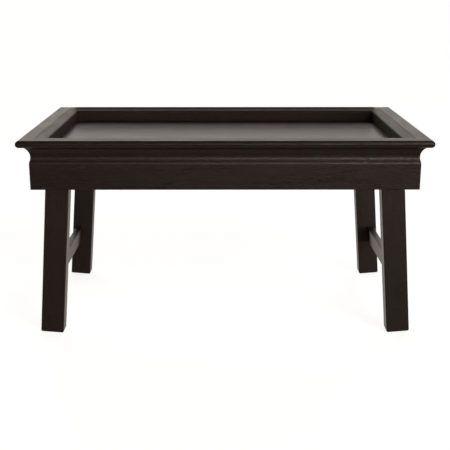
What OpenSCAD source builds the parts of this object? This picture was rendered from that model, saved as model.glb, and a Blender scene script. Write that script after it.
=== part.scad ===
// Folding tray table: a shallow moulded tray on two splayed leg frames
// that swing in and lie flat beneath it. All sizes are in millimetres.
// +X runs along the width, +Y towards the back and +Z up. The origin is
// on the floor, under the centre of the tray.

/* [Overall] */
// Width of the tray over its lip
overall_width = 530; // [500:5:700]
// Depth of the tray over its lip
overall_depth = 312; // [250:2:420]
// Height of the lip above the floor, legs out
overall_height = 268; // [200:1:268]

/* [Rails] */
// Height of a rail, from the top of its lip to the foot of its apron
rail_height = 66; // [60:1:80]
// Thickness of the lip
lip_thickness = 9.5; // [9:0.5:12]
// Radius of the lip's upper edge
lip_top_radius = 4; // [2:0.5:4]
// Radius of the lip's lower edge
lip_under_radius = 5; // [2:0.5:5]
// How far the apron's face stands back from the lip
apron_setback = 13.2; // [12:0.2:16]
// How far the cove cuts in behind the apron's face
cove_bite = 1.8; // [1:0.1:2.5]
// Radius of the cove under the lip
cove_radius = 16; // [14:0.5:20]
// Depth of the cove's deepest line below the top of the lip
cove_drop = 23; // [22:0.5:26]
// Radius of the bead where the cove runs out into the apron
bead_radius = 10; // [6:0.5:14]
// Width of the rim, from the edge of the lip to the well
rim_width = 34.5; // [32:0.5:44]
// Width of the rim's flat outer band
rim_flat = 20; // [16:0.5:24]
// Depth of the step between the two bands of the rim
quirk_depth = 0.3; // [0.2:0.1:1]
// Fall of the rim's inner band towards the well
rim_fall = 1.1; // [0.4:0.1:2]
// Radius of the edge that the well starts at
sight_edge_radius = 3; // [2:0.5:4]
// Thickness of the apron below the panel
skirt_thickness = 8; // [7:0.5:12]
// Radius of the apron's lower edges
skirt_edge_radius = 1; // [0.5:0.5:2]

/* [Panel] */
// Depth of the well, from the top of the lip to the panel
well_depth = 17; // [16:0.5:24]
// Thickness of the panel
panel_thickness = 5; // [4:0.5:8]
// Thickness of the tongue round the panel, under the rim
panel_tongue = 4; // [3:0.5:6]
// Gap round the panel and round its raised field
panel_gap = 0.2; // [0.1:0.1:0.5]

/* [Cleats and battens] */
// Side of the square cleats that hold the panel up
cleat_size = 6.5; // [5:0.5:8]
// Width of the battens that the legs stop against
batten_width = 36; // [32:1:50]
// Thickness of those battens
batten_thickness = 8; // [4:0.5:8]
// Gap at the ends of cleats and battens
strip_end_gap = 0.1; // [0.1:0.1:0.5]
// Diameter of the brads through the cleats
brad_diameter = 1.2; // [1:0.1:1.6]
// Length of those brads
brad_length = 11; // [9:0.5:12]
// Brads in the front cleat and in the back one
long_cleat_brads = 5; // [3:1:7]
// Brads in each end cleat
short_cleat_brads = 3; // [2:1:5]

/* [Corner splines] */
// Width of a spline across its mitre
spline_width = 4.5; // [3:0.5:5]
// Thickness of a spline
spline_thickness = 2; // [1.5:0.5:2]
// Distance from the foot of the apron up to a spline
spline_foot_margin = 4; // [2:1:10]
// Distance from the top of the lip down to a spline
spline_top_margin = 14; // [12:1:20]

/* [Leg frames] */
// Width of a leg, seen from the front
leg_width = 31; // [26:1:36]
// Thickness of a leg, front to back
leg_thickness = 21; // [18:0.5:28]
// Angle that an unfolded leg leans outwards
leg_splay = 4.75; // [2:0.25:8]
// Radius of a leg's long edges
leg_edge_radius = 1.5; // [0.5:0.5:3]
// Radius of the corners of a foot
foot_radius = 2.5; // [1:0.5:4]
// Radius of the top corner that meets the batten
leg_top_radius = 2.5; // [1:0.5:4]
// Gap between an unfolded leg and the batten that stops it
stop_gap = 0.2; // [0.1:0.1:0.5]
// Gap between the swinging top of a leg and the end rail
swing_gap = 2.1; // [1:0.1:4]
// Gap between the face of a leg and the apron beside it
side_gap = 1; // [1:0.1:2]

/* [Stretchers] */
// Height of a stretcher's section
stretcher_height = 24.5; // [18:0.5:30]
// Thickness of a stretcher's section
stretcher_thickness = 9.5; // [9:0.5:16]
// Distance up the leg from its foot to the stretcher
stretcher_rise = 54.5; // [30:0.5:90]
// How far the stretcher stands in from the leg's outer face
stretcher_inset = 4.5; // [1:0.5:8]
// Radius of the stretcher's long edges
stretcher_edge_radius = 1.5; // [0.5:0.5:3]
// Diameter of the dowels in the stretcher's ends
dowel_diameter = 6; // [4:0.5:6]
// Length of a dowel
dowel_length = 30; // [24:1:36]
// Depth that a dowel goes into its leg
dowel_leg_depth = 12; // [8:1:15]
// Distance between the two dowels of one joint
dowel_pitch = 10; // [8:0.5:11]
// Gap past each end of a dowel
dowel_end_gap = 0.5; // [0.2:0.1:1]

/* [Pivots] */
// Diameter of the rods that the leg frames turn on
rod_diameter = 6; // [5:0.5:8]
// Radial clearance of a leg on its rod
rod_clearance = 0.05; // [0.02:0.01:0.1]
// Depth of the blind seat for a rod's end in the apron
rod_seat_depth = 5.5; // [4:0.5:6]
// Gap past the end of a rod
rod_end_gap = 0.2; // [0.1:0.1:0.5]
// Outer diameter of the washers between leg and apron
washer_diameter = 14; // [12:0.5:18]
// Thickness of those washers
washer_thickness = 0.8; // [0.5:0.1:0.9]
// Radial clearance of a washer on its rod
washer_clearance = 0.1; // [0.05:0.05:0.3]

/* [Hidden] */
$fn = 64;

// Half sizes of the tray, and of the space inside its aprons
half_width = overall_width / 2;
half_depth = overall_depth / 2;
skirt_inset = apron_setback + skirt_thickness;
inner_half_width = half_width - skirt_inset;
inner_half_depth = half_depth - skirt_inset;

// Heights above the floor, from the top down
panel_top = overall_height - well_depth;
ledge_z = panel_top - panel_thickness + panel_tongue;
panel_bottom = panel_top - panel_thickness;
batten_bottom = panel_bottom - batten_thickness;
apron_bottom = overall_height - rail_height;

// A folded leg lies flush with the foot of the apron
pivot_z = apron_bottom + leg_width / 2;

// Length of a leg below its pivot, so that its inner corner is on the floor
foot_centre_x = leg_width / 2 - foot_radius;
leg_reach = foot_radius
    + (pivot_z - foot_radius - foot_centre_x * sin(leg_splay)) / cos(leg_splay);

// Length of a leg above its pivot, so that its outer corner meets the batten
top_centre_x = leg_width / 2 - leg_top_radius;
leg_crown = leg_top_radius
    + (batten_bottom - stop_gap - leg_top_radius - pivot_z
       - top_centre_x * sin(leg_splay)) / cos(leg_splay);

// The top corner of a leg swings past the end rail with a set gap
swing_radius = leg_top_radius + norm([top_centre_x, leg_crown - leg_top_radius]);
pivot_x = inner_half_width - swing_gap - swing_radius;

// Legs fill the depth inside the aprons, less the washers' gaps
leg_face_y = inner_half_depth - side_gap;
leg_back_y = leg_face_y - leg_thickness;

// Cleats line the aprons, and each batten lies against an end cleat
batten_outer_x = inner_half_width - cleat_size;
batten_inner_x = batten_outer_x - batten_width;
cleat_bottom = panel_bottom - cleat_size;
brad_z = panel_bottom - cleat_size / 2;

// Stretcher's place in the leg's own frame: pivot at the origin
stretcher_x = -leg_width / 2 + stretcher_inset + stretcher_thickness / 2;
stretcher_z = -leg_reach + stretcher_rise + stretcher_height / 2;

// Splines stand in the middle of the apron's thinnest section
cove_setback = apron_setback + cove_bite;
spline_inset = (cove_setback + skirt_inset) / 2;
spline_z = apron_bottom + spline_foot_margin;
spline_height = rail_height - spline_foot_margin - spline_top_margin;

// Centre of the cove's arc, and of the bead's arc that it runs into
cove_x = cove_setback - cove_radius;
bead_x = apron_setback + bead_radius;
arc_run = bead_x - cove_x;
arc_sum = cove_radius + bead_radius;
bead_drop = cove_drop + sqrt(arc_sum * arc_sum - arc_run * arc_run);
run_out_drop = cove_drop + (bead_drop - cove_drop) * cove_radius / arc_sum;

wood = "#2c211b";
wood_hidden = "#5a4634";
steel = "#b9bcc0";
nylon = "#e8e6df";

// ---- Shapes that repeat ----

// Rectangle from one corner to the opposite one
module box_2d(x_low, y_low, x_high, y_high) {
    translate([x_low, y_low]) square([x_high - x_low, y_high - y_low]);
}

// Box from one corner to the opposite one
module box_3d(low, high) {
    translate(low) cube(high - low);
}

// Rectangle centred on the origin with rounded corners
module round_rect_2d(width, height, radius) {
    square([width - 2 * radius, height], center = true);
    square([width, height - 2 * radius], center = true);
    for (sx = [-1, 1], sy = [-1, 1])
        translate([sx * (width / 2 - radius), sy * (height / 2 - radius)])
            circle(r = radius);
}

// Round bar along Y, centred on the origin
module bar_y(diameter, length) {
    rotate([90, 0, 0]) cylinder(d = diameter, h = length, center = true);
}

// Round bar along X, centred on the origin
module bar_x(diameter, length) {
    rotate([0, 90, 0]) cylinder(d = diameter, h = length, center = true);
}

// Turns a left-hand piece into its right-hand twin
module on_side(side) {
    mirror([side > 0 ? 1 : 0, 0, 0]) children();
}

// ---- Rails ----

// Lip: a bullnose with a larger radius below than above
module lip_section() {
    intersection() {
        translate([lip_top_radius, -lip_top_radius]) circle(r = lip_top_radius);
        box_2d(0, -lip_top_radius, lip_top_radius, 0);
    }
    intersection() {
        translate([lip_under_radius, lip_under_radius - lip_thickness])
            circle(r = lip_under_radius);
        box_2d(0, -lip_thickness, lip_under_radius, lip_under_radius - lip_thickness);
    }
    box_2d(0, lip_under_radius - lip_thickness, lip_under_radius, -lip_top_radius);
    box_2d(lip_top_radius, -lip_top_radius, lip_under_radius, 0);
    box_2d(lip_under_radius, -lip_thickness, rim_flat, 0);
}

// Cove under the lip, bead at its foot, and the plain apron below
module apron_section() {
    box_2d(cove_setback, skirt_edge_radius - rail_height, skirt_inset, -lip_thickness / 2);
    difference() {
        box_2d(lip_under_radius, -run_out_drop, skirt_inset, -lip_thickness);
        translate([cove_x, -cove_drop]) circle(r = cove_radius);
    }
    intersection() {
        translate([bead_x, -bead_drop]) circle(r = bead_radius);
        box_2d(apron_setback, -bead_drop, skirt_inset, -run_out_drop);
    }
    box_2d(apron_setback, skirt_edge_radius - rail_height, skirt_inset, -bead_drop);
    box_2d(apron_setback + skirt_edge_radius, -rail_height,
           skirt_inset - skirt_edge_radius, skirt_edge_radius - rail_height);
    for (x = [apron_setback + skirt_edge_radius, skirt_inset - skirt_edge_radius])
        translate([x, skirt_edge_radius - rail_height]) circle(r = skirt_edge_radius);
}

// Rim over the panel: flat band, step, falling band and rounded sight edge
module rim_section() {
    ledge = ledge_z - overall_height;
    edge_x = rim_width - sight_edge_radius;
    edge_y = -quirk_depth - rim_fall;
    box_2d(cove_setback, ledge, rim_flat, -lip_thickness / 2);
    polygon([[rim_flat, ledge], [edge_x, ledge], [edge_x, edge_y],
             [rim_flat, -quirk_depth]]);
    box_2d(edge_x, ledge, rim_width, edge_y - sight_edge_radius);
    intersection() {
        translate([edge_x, edge_y - sight_edge_radius]) circle(r = sight_edge_radius);
        box_2d(edge_x, edge_y - sight_edge_radius, rim_width, edge_y);
    }
}

// Rail along X, mitred at both ends, with its lip's edge on the X axis
module rail(length) {
    intersection() {
        rotate([90, 0, 90]) linear_extrude(height = length, center = true)
            union() {
                lip_section();
                apron_section();
                rim_section();
            }
        translate([0, 0, -rail_height - 1]) linear_extrude(height = rail_height + 2)
            polygon([[-length / 2, 0], [length / 2, 0],
                     [length / 2 - rim_width - 1, rim_width + 1],
                     [-length / 2 + rim_width + 1, rim_width + 1]]);
    }
}

// A long rail also holds the ends of both pivot rods
module long_rail(side, name_turn) {
    color(wood) difference() {
        translate([0, side * half_depth, overall_height])
            rotate([0, 0, name_turn]) rail(overall_width);
        spline_solids();
        brad_solids();
        for (end = [-1, 1])
            translate([end * pivot_x, 0, pivot_z])
                bar_y(rod_diameter, 2 * (inner_half_depth + rod_seat_depth));
    }
}

module end_rail(side, name_turn) {
    color(wood) difference() {
        translate([side * half_width, 0, overall_height])
            rotate([0, 0, name_turn]) rail(overall_depth);
        spline_solids();
        brad_solids();
    }
}

module front_rail() long_rail(-1, 0);
module back_rail() long_rail(1, 180);
module left_rail() end_rail(-1, -90);
module right_rail() end_rail(1, 90);

// One spline stands across each mitre
module spline_solids() {
    for (sx = [-1, 1], sy = [-1, 1])
        translate([sx * (half_width - spline_inset), sy * (half_depth - spline_inset),
                   spline_z + spline_height / 2])
            rotate([0, 0, 45 * sx * sy])
                cube([spline_thickness, spline_width, spline_height], center = true);
}

module corner_splines() {
    color(wood_hidden) spline_solids();
}

// ---- Panel, cleats and battens ----

// Panel with a raised field in the well and a tongue under the rim
module tray_panel() {
    tongue = [inner_half_width - panel_gap, inner_half_depth - panel_gap];
    field = [half_width - rim_width - panel_gap, half_depth - rim_width - panel_gap];
    color(wood) {
        box_3d([-tongue.x, -tongue.y, panel_bottom], [tongue.x, tongue.y, ledge_z]);
        box_3d([-field.x, -field.y, ledge_z], [field.x, field.y, panel_top]);
    }
}

// Cleat along the front or back apron, between the battens
module long_cleat(side) {
    reach = batten_inner_x - strip_end_gap;
    outer = side * inner_half_depth;
    inner = side * (inner_half_depth - cleat_size);
    color(wood_hidden) difference() {
        box_3d([-reach, min(outer, inner), cleat_bottom],
               [reach, max(outer, inner), panel_bottom]);
        brad_solids();
    }
}

// Cleat along an end apron
module end_cleat(side) {
    reach = inner_half_depth - strip_end_gap;
    color(wood_hidden) difference() {
        on_side(side) box_3d([-inner_half_width, -reach, cleat_bottom],
                             [-batten_outer_x, reach, panel_bottom]);
        brad_solids();
    }
}

module front_cleat() long_cleat(-1);
module back_cleat() long_cleat(1);
module left_cleat() end_cleat(-1);
module right_cleat() end_cleat(1);

// Batten across the underside, where the tops of two legs come to rest
module batten(side) {
    reach = inner_half_depth - strip_end_gap;
    color(wood_hidden) on_side(side)
        box_3d([-batten_outer_x, -reach, batten_bottom],
               [-batten_inner_x, reach, panel_bottom]);
}

module left_batten() batten(-1);
module right_batten() batten(1);

// Brads through the cleats into the aprons
module brad_solids() {
    long_step = 2 * batten_inner_x / long_cleat_brads;
    short_step = 2 * inner_half_depth / short_cleat_brads;
    long_centre = inner_half_depth - cleat_size + brad_length / 2;
    short_centre = inner_half_width - cleat_size + brad_length / 2;
    for (side = [-1, 1]) {
        for (i = [0 : long_cleat_brads - 1])
            translate([-batten_inner_x + (i + 0.5) * long_step, side * long_centre, brad_z])
                bar_y(brad_diameter, brad_length);
        for (i = [0 : short_cleat_brads - 1])
            translate([side * short_centre, -inner_half_depth + (i + 0.5) * short_step, brad_z])
                bar_x(brad_diameter, brad_length);
    }
}

module cleat_brads() {
    color(steel) brad_solids();
}

// ---- Leg frames: made for the left, mirrored for the right ----

// Puts a piece drawn about the pivot, with the leg upright, in its place
module in_leg_frame(side) {
    on_side(side) translate([-pivot_x, 0, pivot_z]) rotate([0, leg_splay, 0])
        children();
}

// Outline of a leg: eased foot, square outer top corner, round inner one
module leg_outline() {
    half = leg_width / 2;
    box_2d(-half, foot_radius - leg_reach, half, 0);
    box_2d(-foot_centre_x, -leg_reach, foot_centre_x, foot_radius - leg_reach);
    for (x = [-foot_centre_x, foot_centre_x])
        translate([x, foot_radius - leg_reach]) circle(r = foot_radius);
    box_2d(-half, 0, 0, leg_crown - leg_top_radius);
    box_2d(-top_centre_x, leg_crown - leg_top_radius, 0, leg_crown);
    translate([-top_centre_x, leg_crown - leg_top_radius]) circle(r = leg_top_radius);
    intersection() {
        circle(r = leg_crown);
        box_2d(0, 0, half, leg_crown);
    }
}

// Both dowels of one joint; a gap lengthens the holes that they sit in
module dowel_pair(depth_side, gap) {
    centre = leg_back_y + dowel_leg_depth - dowel_length / 2;
    for (dz = [-dowel_pitch / 2, dowel_pitch / 2])
        translate([stretcher_x, depth_side * centre, stretcher_z + dz])
            bar_y(dowel_diameter, dowel_length + 2 * gap);
}

// Leg at the front or the back of its frame, its long edges rounded
module leg(side, depth_side) {
    color(wood) in_leg_frame(side) difference() {
        translate([0, depth_side * (leg_back_y + leg_face_y) / 2, 0]) intersection() {
            rotate([90, 0, 0]) linear_extrude(height = leg_thickness + 2, center = true)
                leg_outline();
            translate([0, 0, -leg_reach - 1]) linear_extrude(height = leg_reach + leg_crown + 2)
                round_rect_2d(leg_width, leg_thickness, leg_edge_radius);
        }
        bar_y(rod_diameter + 2 * rod_clearance, 2 * leg_face_y + 2);
        dowel_pair(depth_side, dowel_end_gap);
    }
}

module left_front_leg() leg(-1, -1);
module left_back_leg() leg(-1, 1);
module right_front_leg() leg(1, -1);
module right_back_leg() leg(1, 1);

// Stretcher between the two legs of a frame
module stretcher(side) {
    color(wood) in_leg_frame(side) difference() {
        translate([stretcher_x, 0, stretcher_z])
            rotate([90, 0, 0]) linear_extrude(height = 2 * leg_back_y, center = true)
                round_rect_2d(stretcher_thickness, stretcher_height, stretcher_edge_radius);
        for (depth_side = [-1, 1]) dowel_pair(depth_side, dowel_end_gap);
    }
}

module left_stretcher() stretcher(-1);
module right_stretcher() stretcher(1);

module stretcher_dowels(side) {
    color(wood_hidden) in_leg_frame(side)
        for (depth_side = [-1, 1]) dowel_pair(depth_side, 0);
}

module left_stretcher_dowels() stretcher_dowels(-1);
module right_stretcher_dowels() stretcher_dowels(1);

// ---- Pivots ----

// Rod from apron to apron, through both legs of a frame
module pivot_rod(side) {
    color(steel) translate([side * pivot_x, 0, pivot_z])
        bar_y(rod_diameter, 2 * (inner_half_depth + rod_seat_depth - rod_end_gap));
}

module left_pivot_rod() pivot_rod(-1);
module right_pivot_rod() pivot_rod(1);

// Washer on the rod between each leg and the apron beside it
module pivot_washers(side) {
    color(nylon) for (depth_side = [-1, 1])
        translate([side * pivot_x, depth_side * (leg_face_y + side_gap / 2), pivot_z])
            difference() {
                bar_y(washer_diameter, washer_thickness);
                bar_y(rod_diameter + 2 * washer_clearance, washer_thickness + 1);
            }
}

module left_pivot_washers() pivot_washers(-1);
module right_pivot_washers() pivot_washers(1);

front_rail();
back_rail();
left_rail();
right_rail();
tray_panel();
front_cleat();
back_cleat();
left_cleat();
right_cleat();
left_batten();
right_batten();
corner_splines();
cleat_brads();
left_pivot_rod();
right_pivot_rod();
left_pivot_washers();
right_pivot_washers();
left_front_leg();
left_back_leg();
left_stretcher();
left_stretcher_dowels();
right_front_leg();
right_back_leg();
right_stretcher();
right_stretcher_dowels();
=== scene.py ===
import math
import bpy
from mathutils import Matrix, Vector


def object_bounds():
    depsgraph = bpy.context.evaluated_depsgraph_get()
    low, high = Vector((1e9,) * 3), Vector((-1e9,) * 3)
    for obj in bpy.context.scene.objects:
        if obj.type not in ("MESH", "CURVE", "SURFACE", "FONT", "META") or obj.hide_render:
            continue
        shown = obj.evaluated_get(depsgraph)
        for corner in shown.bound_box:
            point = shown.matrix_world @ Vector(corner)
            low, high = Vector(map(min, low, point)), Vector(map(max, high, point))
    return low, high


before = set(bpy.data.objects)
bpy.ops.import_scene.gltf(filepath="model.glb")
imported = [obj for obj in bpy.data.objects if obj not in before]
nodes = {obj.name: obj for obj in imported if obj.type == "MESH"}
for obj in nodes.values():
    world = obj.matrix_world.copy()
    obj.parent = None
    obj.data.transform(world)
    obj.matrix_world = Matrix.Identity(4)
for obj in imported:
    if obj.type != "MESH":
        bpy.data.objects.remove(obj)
cad_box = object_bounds()
scene = bpy.context.scene
tray_high = cad_box[1]


# ---- Camera ----
# A long lens stands a little over a metre in front of the table, square to
# the front rail, and looks down over the rim into the well.

CAMERA_PLACE = (-0.00346, -1.2317, 0.4618)
CAMERA_TILT = math.radians(15.74)
CAMERA_TURN = math.radians(0.166)
LENS_MM = 69.18

camera_data = bpy.data.cameras.new("camera")
camera_data.lens = LENS_MM
camera_data.sensor_width = 36.0
camera = bpy.data.objects.new("camera", camera_data)
camera.location = CAMERA_PLACE
camera.rotation_euler = (math.pi / 2 - CAMERA_TILT, 0.0, -CAMERA_TURN)
scene.collection.objects.link(camera)
scene.camera = camera
scene.view_settings.view_transform = "Standard"


# ---- Studio ----
# A low white sweep glows behind the table. The room overhead is dark, a low
# window shines in front, and a weak soft box stands high at the front right.

def add_node(tree, kind, inputs=None, **settings):
    """Adds a node; an input takes a number, a colour or another node's socket."""
    made = tree.nodes.new(kind)
    for name, value in settings.items():
        setattr(made, name, value)
    for name, value in (inputs or {}).items():
        if isinstance(value, bpy.types.NodeSocket):
            tree.links.new(value, made.inputs[name])
        else:
            made.inputs[name].default_value = value
    return made


def smooth_step(tree, value, low, high, to_low=0.0, to_high=1.0):
    """Turns a value between low and high into one between to_low and to_high."""
    step = add_node(tree, "ShaderNodeMapRange",
                    {"Value": value, "From Min": low, "From Max": high,
                     "To Min": to_low, "To Max": to_high},
                    interpolation_type="SMOOTHSTEP")
    return step.outputs["Result"]


def math_of(tree, operation, *values):
    """One Math node; each value is a number or another node's socket."""
    made = add_node(tree, "ShaderNodeMath", dict(enumerate(values)), operation=operation)
    return made.outputs["Value"]


STUDIO_WARMTH = (1.0, 0.92, 0.84, 1.0)
SWEEP_LEVEL = 1.54
SWEEP_FOOT = 0.42
CEILING_LEVEL = 0.15
ROOM_LEVEL = 0.03
TABLE_GLOW = 0.08
WINDOW_LEVEL = 4.0
SIDE_GLOW = 2.5
UNDER_GLOW = 0.28
# Where each glow starts and where it is full, as parts of a direction of length 1
SWEEP_RISE = (-0.22, 0.04)
SWEEP_FADE = (0.35, 0.80)
SWEEP_SPREAD = (0.35, 0.92)
SWEEP_LEFT, SWEEP_RIGHT = 1.08, 0.90
WINDOW_SILL = (-0.08, 0.04)
WINDOW_HEAD = (0.26, 0.10)
WINDOW_DEPTH = (0.0, -0.6)
WINDOW_EDGE = (-0.20, 0.16)
WINDOW_REST = 0.10
TABLE_DROP = (-0.05, -0.25)
TABLE_FRONT = (0.20, -0.30)
TABLE_EDGE = (-0.16, 0.04)
SIDE_DROP = (-0.10, -0.25)
SIDE_BACK = (0.0, 0.5)
SIDE_SPREAD = (0.22, 0.60)
UNDER_DROP = (-0.55, -0.90)
UNDER_SPREAD = (-0.3, 0.3)
UNDER_REST = 0.4

world = bpy.data.worlds.new("studio")
world.use_nodes = True
scene.world = world
sky = world.node_tree
sky.nodes.clear()
direction = add_node(sky, "ShaderNodeSeparateXYZ",
                     {"Vector": add_node(sky, "ShaderNodeTexCoord").outputs["Generated"]})
across, along, upward = (direction.outputs[axis] for axis in "XYZ")


def product_of(tree, first, *others):
    """Multiplies sockets and numbers together."""
    for other in others:
        first = math_of(tree, "MULTIPLY", first, other)
    return first


# The sweep, brightest just above the floor's edge, and a little less to the right
rise = smooth_step(sky, upward, *SWEEP_RISE, SWEEP_FOOT, SWEEP_LEVEL)
fade = smooth_step(sky, upward, *SWEEP_FADE, 0.0, CEILING_LEVEL - SWEEP_LEVEL)
back_light = product_of(sky, math_of(sky, "ADD", rise, fade),
                        smooth_step(sky, across, -0.5, 0.5, SWEEP_LEFT, SWEEP_RIGHT),
                        smooth_step(sky, along, *SWEEP_SPREAD))
# A low window in front, to the right
window = product_of(sky, smooth_step(sky, upward, *WINDOW_SILL),
                    smooth_step(sky, upward, *WINDOW_HEAD),
                    smooth_step(sky, along, *WINDOW_DEPTH),
                    smooth_step(sky, across, *WINDOW_EDGE,
                                WINDOW_REST * WINDOW_LEVEL, WINDOW_LEVEL))
# The table top in front, lit towards the right
table_glow = product_of(sky, smooth_step(sky, upward, *TABLE_DROP),
                        smooth_step(sky, along, *TABLE_FRONT),
                        smooth_step(sky, across, *TABLE_EDGE, 0.0, TABLE_GLOW))
# The table top behind, off to both sides
aside = math_of(sky, "ABSOLUTE", across)
side_glow = product_of(sky, smooth_step(sky, upward, *SIDE_DROP),
                       smooth_step(sky, along, *SIDE_BACK),
                       smooth_step(sky, aside, *SIDE_SPREAD, 0.0, SIDE_GLOW))
# The table top straight below, brighter on the left
under_glow = product_of(sky, smooth_step(sky, upward, *UNDER_DROP),
                        smooth_step(sky, across, *UNDER_SPREAD,
                                    UNDER_GLOW, UNDER_REST * UNDER_GLOW))
level = ROOM_LEVEL
for part in (back_light, window, table_glow, side_glow, under_glow):
    level = math_of(sky, "ADD", part, level)
lit = add_node(sky, "ShaderNodeBackground", {"Color": STUDIO_WARMTH, "Strength": level})
plain = add_node(sky, "ShaderNodeBackground",
                 {"Color": (1.0, 1.0, 1.0, 1.0), "Strength": 1.0})
seen = add_node(sky, "ShaderNodeMixShader",
                {0: add_node(sky, "ShaderNodeLightPath").outputs["Is Camera Ray"],
                 1: lit.outputs["Background"], 2: plain.outputs["Background"]})
add_node(sky, "ShaderNodeOutputWorld", {"Surface": seen.outputs["Shader"]})

SOFT_BOX_PLACE = Vector((1.25, -1.65, 1.70))
SOFT_BOX_AIM = Vector((0.0, 0.0, 0.2))
SOFT_BOX_SIDE = 1.0
SOFT_BOX_WATTS = 8.0

soft_box_data = bpy.data.lights.new("soft_box", "AREA")
soft_box_data.size = SOFT_BOX_SIDE
soft_box_data.energy = SOFT_BOX_WATTS
soft_box_data.color = STUDIO_WARMTH[:3]
soft_box = bpy.data.objects.new("soft_box", soft_box_data)
soft_box.location = SOFT_BOX_PLACE
soft_box.rotation_euler = (SOFT_BOX_AIM - SOFT_BOX_PLACE).to_track_quat("-Z", "Y").to_euler()
scene.collection.objects.link(soft_box)


def flat_sheet(name, corners):
    """A sheet of one face for the studio, with its material slot still empty."""
    mesh = bpy.data.meshes.new(name)
    mesh.from_pydata(corners, [], [(0, 1, 2, 3)])
    sheet = bpy.data.objects.new(name, mesh)
    scene.collection.objects.link(sheet)
    return sheet


def one_sided(name, colour, glow):
    """A matt sheet with a glow of its own; from behind it is clear."""
    material = bpy.data.materials.new(name)
    material.use_nodes = True
    tree = material.node_tree
    tree.nodes.clear()
    face = add_node(tree, "ShaderNodeBsdfPrincipled",
                    {"Base Color": colour, "Roughness": 0.9, "Specular IOR Level": 0.0,
                     "Emission Color": (1.0, 1.0, 1.0, 1.0), "Emission Strength": glow})
    clear = add_node(tree, "ShaderNodeBsdfTransparent")
    sides = add_node(tree, "ShaderNodeMixShader",
                     {0: add_node(tree, "ShaderNodeNewGeometry").outputs["Backfacing"],
                      1: face.outputs["BSDF"], 2: clear.outputs["BSDF"]})
    add_node(tree, "ShaderNodeOutputMaterial", {"Surface": sides.outputs["Shader"]})
    return material


FLOOR_HALF = 30.0
FLOOR_DROP = 0.0002
floor = flat_sheet("floor", [(-FLOOR_HALF, -FLOOR_HALF, -FLOOR_DROP),
                             (FLOOR_HALF, -FLOOR_HALF, -FLOOR_DROP),
                             (FLOOR_HALF, FLOOR_HALF, -FLOOR_DROP),
                             (-FLOOR_HALF, FLOOR_HALF, -FLOOR_DROP)])
floor.visible_glossy = False
floor.visible_diffuse = False
floor.data.materials.append(one_sided("white_paper", (0.85, 0.85, 0.85, 1.0), 0.85))

# A black card just behind the back rail keeps the sweep out of that rail's
# top, so that the far edge of the tray reads dark against the white. Only
# reflections see it.
CARD_GAP = 0.016
CARD_HALF_WIDTH = 0.2435
CARD_FOOT = 0.262
CARD_TOP = 0.2885
card_y = tray_high.y + CARD_GAP
card = flat_sheet("black_card", [(-CARD_HALF_WIDTH, card_y, CARD_FOOT),
                                 (CARD_HALF_WIDTH, card_y, CARD_FOOT),
                                 (CARD_HALF_WIDTH, card_y, CARD_TOP),
                                 (-CARD_HALF_WIDTH, card_y, CARD_TOP)])
card.visible_camera = False
card.visible_diffuse = False
card.visible_shadow = False
card.visible_transmission = False
card.data.materials.append(one_sided("black_felt", (0.01, 0.01, 0.01, 1.0), 0.0))


# ---- Front and back rails ----
# One moulding of stained hardwood, run on a spindle moulder with a bullnose
# lip, a cove and a bead, then mitred, splined and glued at the corners.

def dress(names, material):
    """Gives each of the named pieces a material in place of its plain one."""
    for name in names:
        mesh = nodes[name].data
        mesh.materials.clear()
        mesh.materials.append(material)


def mix_colour(tree, fac, first, second):
    """Blends two colours; each is a tuple or another node's socket."""
    mixed = add_node(tree, "ShaderNodeMix", {0: fac, 6: first, 7: second}, data_type="RGBA")
    return mixed.outputs[2]


def new_tree(name):
    """A new material with an empty node tree, and the surface's own coordinates."""
    material = bpy.data.materials.new(name)
    material.use_nodes = True
    tree = material.node_tree
    tree.nodes.clear()
    place = add_node(tree, "ShaderNodeTexCoord").outputs["Object"]
    return material, tree, place


def grain_noise(tree, place, length, width, detail=2.0, rough=0.5):
    """Noise drawn out along the grain: length and width of a streak in metres."""
    drawn = add_node(tree, "ShaderNodeMapping",
                     {"Vector": place, "Scale": (1.0 / length, 1.0 / width, 1.0 / width)})
    noise = add_node(tree, "ShaderNodeTexNoise",
                     {"Vector": drawn.outputs["Vector"], "Scale": 1.0,
                      "Detail": detail, "Roughness": rough})
    return noise.outputs["Fac"]


ARRIS_REACH = 0.0009
RELIEF_DEPTH = 0.00009
LACQUER_IOR = 1.5
LATE_WOOD = (0.0235, 0.0126, 0.0086, 1.0)
EARLY_WOOD = (0.0390, 0.0214, 0.0150, 1.0)
DARK_THREAD = (0.0185, 0.0100, 0.0068, 1.0)
LIGHT_THREAD = (0.0440, 0.0242, 0.0170, 1.0)
THREAD_SHARE = 0.42
EVEN_STAIN = (0.0285, 0.0153, 0.0106, 1.0)
PORE_STAIN = (0.0085, 0.0054, 0.0038, 1.0)
THIN_STAIN = (0.0800, 0.0500, 0.0330, 1.0)
GLUE_LINE = (0.0060, 0.0040, 0.0030, 1.0)


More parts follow.
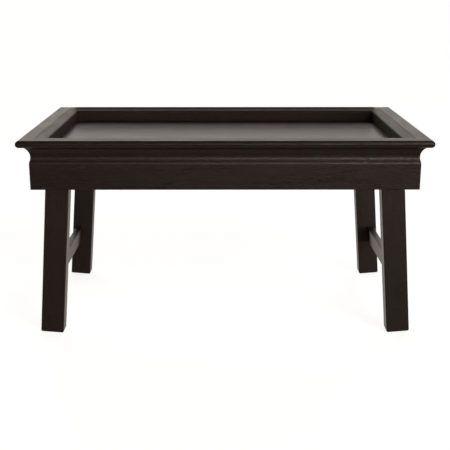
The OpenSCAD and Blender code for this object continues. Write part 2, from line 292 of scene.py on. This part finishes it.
def espresso_wood(name, grain, board, roughness=0.46, figure=1.0, mitre=None, satin=None):
    """Dark stained wood under satin lacquer. grain turns the board, board shifts it."""
    material, tree, place = new_tree(name)
    turned = add_node(tree, "ShaderNodeMapping",
                      {"Vector": place, "Rotation": grain, "Location": board})
    turned = turned.outputs["Vector"]
    growth = grain_noise(tree, turned, 0.160, 0.0075)
    fibre = grain_noise(tree, turned, 0.030, 0.0011, 3.0, 0.6)
    pores = grain_noise(tree, turned, 0.0045, 0.00028, 0.0)
    ripple = grain_noise(tree, turned, 0.0070, 0.0024, 1.0)
    blotch = grain_noise(tree, turned, 0.060, 0.022, 3.0)
    pore_mark = smooth_step(tree, pores, 0.64, 0.74, 0.0, figure)

    # Stain: darker in the pores and the late wood, lighter in the early wood
    body = mix_colour(tree, smooth_step(tree, growth, 0.30, 0.70),
                      LATE_WOOD, EARLY_WOOD)
    threads = mix_colour(tree, smooth_step(tree, fibre, 0.30, 0.70),
                         DARK_THREAD, LIGHT_THREAD)
    wood = mix_colour(tree, THREAD_SHARE * figure, body, threads)
    stained = mix_colour(tree, smooth_step(tree, blotch, 0.25, 0.75), wood,
                         EVEN_STAIN)
    colour = mix_colour(tree, pore_mark, stained, PORE_STAIN)

    # Handling rubs the lacquer off the arrises, so the stain there is thinner
    rounded = add_node(tree, "ShaderNodeBevel", {"Radius": ARRIS_REACH}, samples=4)
    facing = add_node(tree, "ShaderNodeVectorMath",
                      {0: rounded.outputs["Normal"],
                       1: add_node(tree, "ShaderNodeNewGeometry").outputs["Normal"]},
                      operation="DOT_PRODUCT")
    arris = smooth_step(tree, facing.outputs["Value"], 0.97, 0.80, 0.0, 0.35)
    worn = math_of(tree, "MULTIPLY", arris, smooth_step(tree, blotch, 0.40, 0.62))
    colour = mix_colour(tree, worn, colour, THIN_STAIN)

    # A mitred rail ends in a fine dark glue line
    if mitre is not None:
        parts = add_node(tree, "ShaderNodeSeparateXYZ", {"Vector": place})
        run = math_of(tree, "SUBTRACT", math_of(tree, "ABSOLUTE", parts.outputs["X"]),
                      math_of(tree, "ABSOLUTE", parts.outputs["Y"]))
        off_mitre = math_of(tree, "ABSOLUTE", math_of(tree, "SUBTRACT", run, mitre))
        glue = smooth_step(tree, off_mitre, 0.00055, 0.00020, 0.0, 0.8)
        colour = mix_colour(tree, glue, colour, GLUE_LINE)

    gloss = smooth_step(tree, fibre, 0.2, 0.8, roughness - 0.03, roughness + 0.04)
    gloss = math_of(tree, "ADD", gloss, smooth_step(tree, blotch, 0.2, 0.8, -0.03, 0.03))
    gloss = math_of(tree, "ADD", gloss, math_of(tree, "MULTIPLY", worn, 0.15))
    if satin is not None:
        gloss = math_of(tree, "ADD", gloss, satin(tree, place))

    relief = math_of(tree, "MULTIPLY_ADD", fibre, 0.5 * figure,
                     math_of(tree, "MULTIPLY", ripple, 0.9))
    relief = math_of(tree, "MULTIPLY_ADD", pore_mark, -0.8, relief)
    bump = add_node(tree, "ShaderNodeBump",
                    {"Height": relief, "Distance": RELIEF_DEPTH, "Strength": 1.0})
    shader = add_node(tree, "ShaderNodeBsdfPrincipled",
                      {"Base Color": colour, "Roughness": gloss,
                       "Normal": bump.outputs["Normal"], "IOR": LACQUER_IOR})
    add_node(tree, "ShaderNodeOutputMaterial", {"Surface": shader.outputs["BSDF"]})
    return material


# The lacquer lies thickest on the moulded outside, and thinnest in the well
FLAT_BAND = 0.020
RIM_WIDTH = 0.0345
MOULDING_GLOSS = -0.17
BAND_DULLING = 0.05
WALL_DULLING = 0.28


def rail_satin(tree, place):
    """Roughness that a rail gains inwards and loses on its moulded outside."""
    parts = add_node(tree, "ShaderNodeSeparateXYZ", {"Vector": place})
    from_end = math_of(tree, "SUBTRACT", tray_high.x,
                       math_of(tree, "ABSOLUTE", parts.outputs["X"]))
    from_side = math_of(tree, "SUBTRACT", tray_high.y,
                        math_of(tree, "ABSOLUTE", parts.outputs["Y"]))
    inwards = math_of(tree, "MINIMUM", from_end, from_side)
    below = math_of(tree, "SUBTRACT", tray_high.z, parts.outputs["Z"])
    outside = math_of(tree, "MULTIPLY",
                      smooth_step(tree, inwards, FLAT_BAND - 0.001, FLAT_BAND - 0.003),
                      smooth_step(tree, below, 0.0008, 0.0020, 0.0, MOULDING_GLOSS))
    band = smooth_step(tree, inwards, FLAT_BAND - 0.0004, FLAT_BAND + 0.0010,
                       0.0, BAND_DULLING)
    wall = smooth_step(tree, inwards, RIM_WIDTH - 0.0008, RIM_WIDTH - 0.0002,
                       0.0, WALL_DULLING)
    return math_of(tree, "ADD", math_of(tree, "ADD", outside, band), wall)


ALONG_X = (0.0, 0.0, 0.0)
ALONG_Y = (0.0, 0.0, math.pi / 2)
MITRE = tray_high.x - tray_high.y

dress(["front_rail"], espresso_wood("front_rail_wood", ALONG_X, (0.31, 0.07, 0.02),
                                    mitre=MITRE, satin=rail_satin))
dress(["back_rail"], espresso_wood("back_rail_wood", ALONG_X, (1.13, 0.41, 0.29),
                                   roughness=0.38, mitre=MITRE, satin=rail_satin))


# ---- End rails ----
# The same moulding, cut shorter, with its grain from front to back.

dress(["left_rail"], espresso_wood("left_rail_wood", ALONG_Y, (2.17, 0.23, 0.61),
                                   mitre=MITRE, satin=rail_satin))
dress(["right_rail"], espresso_wood("right_rail_wood", ALONG_Y, (3.05, 0.83, 0.37),
                                    mitre=MITRE, satin=rail_satin))


# ---- Tray panel ----
# A veneered board in a groove of the rails, stained like them and filled
# before it was lacquered, so that its grain hardly shows.

dress(["tray_panel"], espresso_wood("panel_veneer", ALONG_X, (4.2, 0.5, 0.1),
                                    roughness=0.31, figure=0.45))


# ---- Corner splines ----
# Slips of unfinished beech glued across the mitres, and hidden inside them.

BEECH_DARK = (0.400, 0.262, 0.155, 1.0)
BEECH_PALE = (0.520, 0.368, 0.232, 1.0)
BEECH_FLECK = (0.250, 0.140, 0.075, 1.0)


def raw_beech(name, grain, board):
    """Planed beech: pale, with fine growth lines and short dark flecks."""
    material, tree, place = new_tree(name)
    turned = add_node(tree, "ShaderNodeMapping",
                      {"Vector": place, "Rotation": grain, "Location": board})
    turned = turned.outputs["Vector"]
    growth = grain_noise(tree, turned, 0.120, 0.0020)
    fleck = grain_noise(tree, turned, 0.0022, 0.00035, 0.0)
    body = mix_colour(tree, smooth_step(tree, growth, 0.30, 0.70),
                      BEECH_DARK, BEECH_PALE)
    colour = mix_colour(tree, smooth_step(tree, fleck, 0.62, 0.72, 0.0, 0.6), body,
                        BEECH_FLECK)
    bump = add_node(tree, "ShaderNodeBump",
                    {"Height": growth, "Distance": 0.00008, "Strength": 0.6})
    shader = add_node(tree, "ShaderNodeBsdfPrincipled",
                      {"Base Color": colour, "Normal": bump.outputs["Normal"], "IOR": 1.5,
                       "Roughness": smooth_step(tree, fleck, 0.2, 0.8, 0.52, 0.66)})
    add_node(tree, "ShaderNodeOutputMaterial", {"Surface": shader.outputs["BSDF"]})
    return material


ALONG_Z = (0.0, math.pi / 2, 0.0)
dress(["corner_splines"], raw_beech("spline_beech", ALONG_Z, (6.1, 0.2, 0.9)))


# ---- Cleats and battens ----
# Square strips glued and pinned round the underside of the panel, and two
# wide battens that the legs stop against. Stained thinly, without lacquer.

STRIP_LATE_WOOD = (0.0360, 0.0215, 0.0145, 1.0)
STRIP_EARLY_WOOD = (0.0700, 0.0440, 0.0310, 1.0)
STRIP_FIBRE = (0.0230, 0.0140, 0.0095, 1.0)
SAW_SCALE = 210.0


def thin_stain(name, grain, board):
    """Sawn softwood with one thin coat of stain: matt, with plain growth lines."""
    material, tree, place = new_tree(name)
    turned = add_node(tree, "ShaderNodeMapping",
                      {"Vector": place, "Rotation": grain, "Location": board})
    turned = turned.outputs["Vector"]
    growth = grain_noise(tree, turned, 0.200, 0.0032, 1.0)
    fibre = grain_noise(tree, turned, 0.018, 0.0007, 2.0)
    saw = add_node(tree, "ShaderNodeTexWave",
                   {"Vector": turned, "Scale": SAW_SCALE, "Distortion": 2.0, "Detail": 1.0},
                   bands_direction="X")
    body = mix_colour(tree, smooth_step(tree, growth, 0.35, 0.65),
                      STRIP_LATE_WOOD, STRIP_EARLY_WOOD)
    colour = mix_colour(tree, smooth_step(tree, fibre, 0.35, 0.75, 0.0, 0.5), body,
                        STRIP_FIBRE)
    relief = math_of(tree, "MULTIPLY_ADD", saw.outputs["Fac"], 0.35, fibre)
    bump = add_node(tree, "ShaderNodeBump",
                    {"Height": relief, "Distance": 0.00012, "Strength": 0.8})
    shader = add_node(tree, "ShaderNodeBsdfPrincipled",
                      {"Base Color": colour, "Normal": bump.outputs["Normal"], "IOR": 1.5,
                       "Roughness": smooth_step(tree, growth, 0.3, 0.7, 0.56, 0.68)})
    add_node(tree, "ShaderNodeOutputMaterial", {"Surface": shader.outputs["BSDF"]})
    return material


for number, name in enumerate(("front_cleat", "back_cleat")):
    dress([name], thin_stain(f"{name}_wood", ALONG_X, (5.1 + number, 0.2, 0.9)))
for number, name in enumerate(("left_cleat", "right_cleat", "left_batten", "right_batten")):
    dress([name], thin_stain(f"{name}_wood", ALONG_Y, (0.3 + number, 7.2, 0.4)))


# ---- Cleat brads and pivot rods ----
# Brads pin the cleats to the rails. The rods that the leg frames turn on
# are bright drawn steel, with fine die lines and a trace of old oil.

BRIGHT_STEEL = (0.600, 0.600, 0.610, 1.0)
OILED_STEEL = (0.430, 0.410, 0.380, 1.0)


def drawn_steel(name, grain):
    """Bright steel with lines along the direction that it was drawn in."""
    material, tree, place = new_tree(name)
    turned = add_node(tree, "ShaderNodeMapping", {"Vector": place, "Rotation": grain})
    turned = turned.outputs["Vector"]
    lines = grain_noise(tree, turned, 0.040, 0.00018, 1.0)
    oil = grain_noise(tree, turned, 0.012, 0.0080, 2.0)
    colour = mix_colour(tree, smooth_step(tree, oil, 0.45, 0.75),
                        BRIGHT_STEEL, OILED_STEEL)
    gloss = smooth_step(tree, lines, 0.25, 0.75, 0.22, 0.36)
    bump = add_node(tree, "ShaderNodeBump",
                    {"Height": lines, "Distance": 0.00002, "Strength": 0.6})
    shader = add_node(tree, "ShaderNodeBsdfPrincipled",
                      {"Base Color": colour, "Metallic": 1.0, "Roughness": gloss,
                       "Normal": bump.outputs["Normal"]})
    add_node(tree, "ShaderNodeOutputMaterial", {"Surface": shader.outputs["BSDF"]})
    return material


dress(["left_pivot_rod", "right_pivot_rod"], drawn_steel("rod_steel", ALONG_Y))
dress(["cleat_brads"], drawn_steel("brad_steel", ALONG_X))


# ---- Pivot washers ----
# Punched from natural nylon sheet. They keep the legs off the aprons.

NYLON_CLEAN = (0.800, 0.785, 0.735, 1.0)
NYLON_SCUFFED = (0.640, 0.615, 0.550, 1.0)
nylon, nylon_tree, nylon_place = new_tree("natural_nylon")
scuff = grain_noise(nylon_tree, nylon_place, 0.0015, 0.0006, 2.0)
nylon_colour = mix_colour(nylon_tree, smooth_step(nylon_tree, scuff, 0.35, 0.75),
                          NYLON_CLEAN, NYLON_SCUFFED)
nylon_bump = add_node(nylon_tree, "ShaderNodeBump",
                      {"Height": scuff, "Distance": 0.00003, "Strength": 0.5})
nylon_shader = add_node(nylon_tree, "ShaderNodeBsdfPrincipled",
                        {"Base Color": nylon_colour, "IOR": 1.53,
                         "Normal": nylon_bump.outputs["Normal"],
                         "Roughness": smooth_step(nylon_tree, scuff, 0.3, 0.7, 0.42, 0.55)})
add_node(nylon_tree, "ShaderNodeOutputMaterial", {"Surface": nylon_shader.outputs["BSDF"]})
dress(["left_pivot_washers", "right_pivot_washers"], nylon)


# ---- Leg frames ----
# Two legs and a stretcher on each side, stained and lacquered like the rails.
# The grain runs up each leg and along the stretcher, which is dowelled in.

LEG_SPLAY = math.radians(4.75)
for number, (side, turn) in enumerate((("left", 1.0), ("right", -1.0))):
    upright = (0.0, math.pi / 2 + turn * LEG_SPLAY, 0.0)
    for depth, name in enumerate((f"{side}_front_leg", f"{side}_back_leg")):
        board = (7.0 + number, 0.3 + depth * 0.4, 0.17 * number)
        dress([name], espresso_wood(f"{name}_wood", upright, board, roughness=0.38))
    dress([f"{side}_stretcher"],
          espresso_wood(f"{side}_stretcher_wood", ALONG_Y, (9.0 + number, 0.1, 0.7),
                        roughness=0.40))
    dress([f"{side}_stretcher_dowels"],
          raw_beech(f"{side}_dowel_beech", ALONG_Y, (8.1 + number, 0.4, 0.2)))
